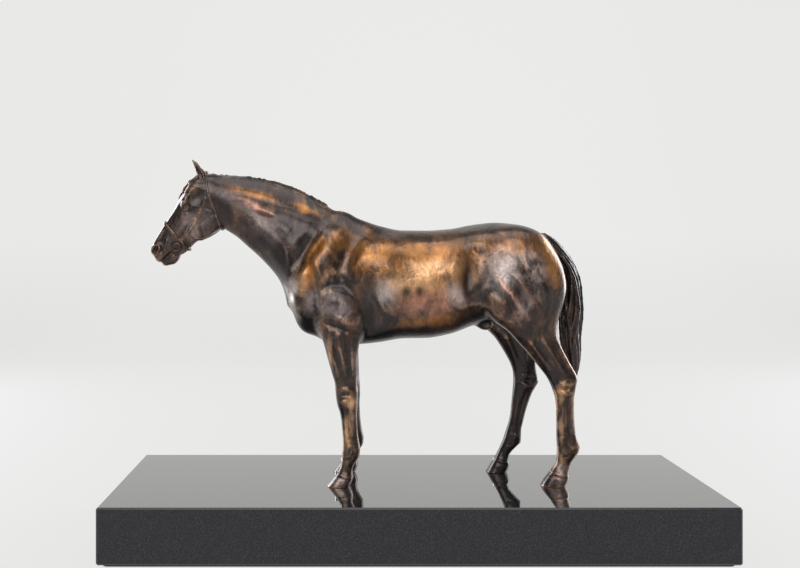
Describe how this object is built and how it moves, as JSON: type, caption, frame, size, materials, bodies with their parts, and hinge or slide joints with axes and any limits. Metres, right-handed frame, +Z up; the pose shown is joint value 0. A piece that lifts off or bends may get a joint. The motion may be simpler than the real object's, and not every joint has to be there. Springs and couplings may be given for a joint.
{
  "type": "horse statue",
  "caption": "Standing bronze horse in a bridle, cast in hollow and solid sections, bolted through its hooves to a polished black granite base with felt beneath.",
  "frame": {"origin": "centre of the underside of the felt below the base", "axes": "+Z up, +X along the base's length towards the tail, and the horse faces -X with its left side on -Y"},
  "size_m": [0.56, 0.21, 0.3595],
  "materials": {
    "bronze_patina": "waxed brown patina, rubbed to copper and gold on the high places",
    "bridle_bronze": "dark waxed patina, rubbed bright on the edges",
    "black_granite": "polished",
    "base_felt": "short felt",
    "zinc_steel": "zinc plated"
  },
  "bodies": {
    "root": {"body_casting": "bronze_patina", "neck_casting": "bronze_patina", "head_casting": "bronze_patina", "tail_casting": "bronze_patina", "foreleg_left": "bronze_patina", "foreleg_right": "bronze_patina", "hindleg_left": "bronze_patina", "hindleg_right": "bronze_patina", "bridle_headpiece": "bridle_bronze", "bridle_browband": "bridle_bronze", "bridle_throatlash": "bridle_bronze", "bridle_noseband": "bridle_bronze", "bridle_cheekpiece_left": "bridle_bronze", "bridle_cheekpiece_right": "bridle_bronze", "bit_ring_left": "bridle_bronze", "bit_ring_right": "bridle_bronze", "bridle_buckles": "bridle_bronze", "hoof_studs": "zinc_steel", "stud_washers": "zinc_steel", "stud_nuts": "zinc_steel", "granite_base": "black_granite", "felt_base_cover": "base_felt"}
  },
  "joints": []
}
